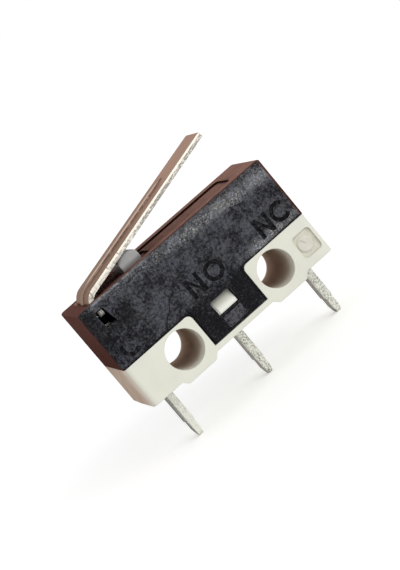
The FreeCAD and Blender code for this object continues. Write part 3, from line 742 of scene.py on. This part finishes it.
def contact_material():
    """Polished silver with fine turning marks."""
    g = Graph("contact_silver")
    marks = g.noise(0.06, 3, stretch=(1, 1, 8))
    g.set(Base_Color=g.mix(marks, SILVER, shaded(SILVER, 0.8)), Metallic=1.0)
    g.set(Roughness=g.ramp(marks, 0.3, 0.7, 0.16, 0.3))
    g.bump(marks, 0.002)
    return g.material


def floor_material():
    """Pale floor, lifted to white for the camera so that only the shadow shows."""
    g = Graph("pale_floor")
    tone = g.noise(40, 2)
    g.set(Base_Color=g.mix(tone, FLOOR_WHITE, shaded(FLOOR_WHITE, 0.99)))
    g.set(Roughness=0.9, Specular_IOR_Level=0.0, Emission_Color=(1, 1, 1))
    seen = g.node("ShaderNodeLightPath").outputs["Is Camera Ray"]
    g.set(Emission_Strength=g.product(seen, FLOOR_GLOW))
    return g.material


def link(name, data):
    """New object in the scene."""
    made = bpy.data.objects.new(name, data)
    bpy.context.scene.collection.objects.link(made)
    return made


def dress(obj, material):
    """Gives an object one material."""
    obj.data.materials.clear()
    obj.data.materials.append(material)


def solid(name, mesh, material):
    """Object made of a bmesh, which is freed."""
    data = bpy.data.meshes.new(name)
    bmesh.ops.recalc_face_normals(mesh, faces=mesh.faces)
    mesh.to_mesh(data)
    mesh.free()
    made = link(name, data)
    dress(made, material)
    return made


def letter_n():
    """Outline of an N, standing on z = 0, as (x, z) points."""
    left, right, top = -N_WIDTH / 2, N_WIDTH / 2, MARK_HEIGHT
    return [
        (left, 0),
        (left + STROKE_WIDTH, 0),
        (left + STROKE_WIDTH, top - N_DIAGONAL),
        (right - STROKE_WIDTH, 0),
        (right, 0),
        (right, top),
        (right - STROKE_WIDTH, top),
        (right - STROKE_WIDTH, N_DIAGONAL),
        (left + STROKE_WIDTH, top),
        (left, top),
    ]


def letter_ring(opening):
    """Outer and inner outline of a round letter, open by +-opening degrees at its right."""
    outer = MARK_HEIGHT / 2
    points = RING_STEPS + 1 if opening else RING_STEPS
    turns = [
        math.radians(opening + (360 - 2 * opening) * i / RING_STEPS)
        for i in range(points)
    ]

    def arc(radius):
        return [(radius * math.cos(t), outer + radius * math.sin(t)) for t in turns]

    return arc(outer), arc(outer - STROKE_WIDTH)


def mark_cutter(letter, x, z, face, material):
    """Solid letter that reaches MARK_DEPTH before and behind the front face."""
    mesh = bmesh.new()
    near, far = face - MARK_DEPTH, face + MARK_DEPTH

    def row(points, y):
        return [mesh.verts.new(((x + px) * MM, y * MM, (z + pz) * MM)) for px, pz in points]

    if letter == "N":
        rows = [row(letter_n(), near), row(letter_n(), far)]
        caps = rows
    else:
        outer, inner = letter_ring(C_OPENING if letter == "C" else 0)
        rows = [row(outer, near), row(outer, far), row(inner, far), row(inner, near)]
        caps = [[r[end] for r in rows] for end in (0, -1)] if letter == "C" else []
        rows.append(rows[0])
    count = len(rows[0])
    sides = count - 1 if letter == "C" else count
    for first, second in zip(rows, rows[1:]):
        for i in range(sides):
            j = (i + 1) % count
            mesh.faces.new((first[i], first[j], second[j], second[i]))
    for cap in caps:
        mesh.faces.new(cap)
    return solid(f"mark_{letter}_{x}", mesh, material)


def engrave(node, cutters, name):
    """Copy of a CAD node, under a new name, with the cutters sunk into it."""
    piece = link(name, node.data.copy())
    for cutter in cutters:
        cut = piece.modifiers.new(cutter.name, "BOOLEAN")
        cut.operation = "DIFFERENCE"
        cut.solver = "EXACT"
        cut.material_mode = "TRANSFER"
        cut.object = cutter
    bpy.context.view_layer.update()
    finished = piece.evaluated_get(bpy.context.evaluated_depsgraph_get())
    piece.data = bpy.data.meshes.new_from_object(finished)
    piece.modifiers.clear()
    for cutter in cutters:
        bpy.data.objects.remove(cutter)
    return piece


def lever_middle(lever, slope):
    """How far the blade's middle plane lies above the origin, measured square to it."""
    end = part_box("lever")[1].x - LEVER_END * MM
    rises = [
        v.co.z * math.cos(slope) - v.co.x * math.sin(slope)
        for v in lever.data.vertices
        if v.co.x > end
    ]
    return (min(rises) + max(rises)) / 2


def make_camera():
    azimuth, elevation = math.radians(CAMERA_AZIMUTH), math.radians(CAMERA_ELEVATION)
    back = Vector((
        math.sin(azimuth) * math.cos(elevation),
        -math.cos(azimuth) * math.cos(elevation),
        math.sin(elevation),
    ))
    data = bpy.data.cameras.new("camera")
    data.lens = CAMERA_LENS
    data.clip_start = CAMERA_CLIP
    camera = link("camera", data)
    camera.location = CAMERA_TARGET + back * CAMERA_DISTANCE
    camera.rotation_mode = "QUATERNION"
    level = (-back).to_track_quat("-Z", "Y")
    camera.rotation_quaternion = level @ Quaternion((0, 0, 1), math.radians(CAMERA_ROLL))
    bpy.context.scene.camera = camera


def make_sun():
    data = bpy.data.lights.new("sun", "SUN")
    data.energy = SUN_STRENGTH
    data.angle = math.radians(SUN_SOFTNESS)
    sun = link("sun", data)
    sun.rotation_euler = Vector(SUN_DIRECTION).to_track_quat("Z", "Y").to_euler()


def make_world():
    """Even light on the object; the camera and reflections see plain white."""
    world = bpy.data.worlds.new("studio")
    world.use_nodes = True
    bpy.context.scene.world = world
    tree = world.node_tree
    background = tree.nodes["Background"]
    background.inputs["Color"].default_value = (1, 1, 1, 1)
    rays = tree.nodes.new("ShaderNodeLightPath")
    seen = rays.outputs["Is Camera Ray"]
    for ray in ("Is Glossy Ray", "Is Transmission Ray"):
        either = tree.nodes.new("ShaderNodeMath")
        either.operation = "MAXIMUM"
        tree.links.new(seen, either.inputs[0])
        tree.links.new(rays.outputs[ray], either.inputs[1])
        seen = either.outputs["Value"]
    strength = tree.nodes.new("ShaderNodeMapRange")
    strength.inputs["To Min"].default_value = WORLD_LIGHT
    strength.inputs["To Max"].default_value = 1.0
    tree.links.new(seen, strength.inputs["Value"])
    tree.links.new(strength.outputs["Result"], background.inputs["Strength"])


def make_floor(height):
    """Square floor under the pins."""
    half = FLOOR_HALF
    mesh = bmesh.new()
    corners = [(-half, -half), (half, -half), (half, half), (-half, half)]
    mesh.faces.new([mesh.verts.new((x, y, height)) for x, y in corners])
    solid("floor", mesh, floor_material())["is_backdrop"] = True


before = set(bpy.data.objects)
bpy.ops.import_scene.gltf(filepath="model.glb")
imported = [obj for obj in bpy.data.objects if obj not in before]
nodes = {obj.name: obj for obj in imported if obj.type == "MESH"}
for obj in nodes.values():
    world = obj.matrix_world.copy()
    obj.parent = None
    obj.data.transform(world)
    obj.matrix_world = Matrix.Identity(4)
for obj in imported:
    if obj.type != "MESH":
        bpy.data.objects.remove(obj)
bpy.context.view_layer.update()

# Materials of the CAD nodes
pad_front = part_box("cover")[0].y / MM
base_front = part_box("base")[0].y / MM
slope = math.radians(LEVER_SLOPE)
tin = tinned_material()
silver = contact_material()
finishes = {
    "base": base_material(base_front),
    "cover": cover_material(pad_front),
    "plunger": plunger_material(),
    "lever": lever_material(slope, lever_middle(nodes["lever"], slope) / MM),
    "snap_blade": spring_material(),
}
finishes.update({name: tin for name in nodes if name.endswith("_terminal")})
finishes.update({name: silver for name in nodes if name.endswith("_contact")})
for name, material in finishes.items():
    dress(nodes[name], material)

# Cover with its terminal marks
cutters = []
for marks, name, light in (
    (DARK_MARKS, "dark_marks", MARK_DARK),
    (FAINT_MARKS, "faint_marks", MARK_FAINT),
):
    material = mark_material(name, light)
    cutters += [mark_cutter(*mark, pad_front + PAD_RISE, material) for mark in marks]
cover = engrave(nodes["cover"], cutters, "cover_marked")
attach(cover, "housing")
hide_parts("cover")

# Studio
bpy.context.scene.view_settings.view_transform = "Standard"
make_camera()
make_world()
make_sun()
make_floor(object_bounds()[0].z)
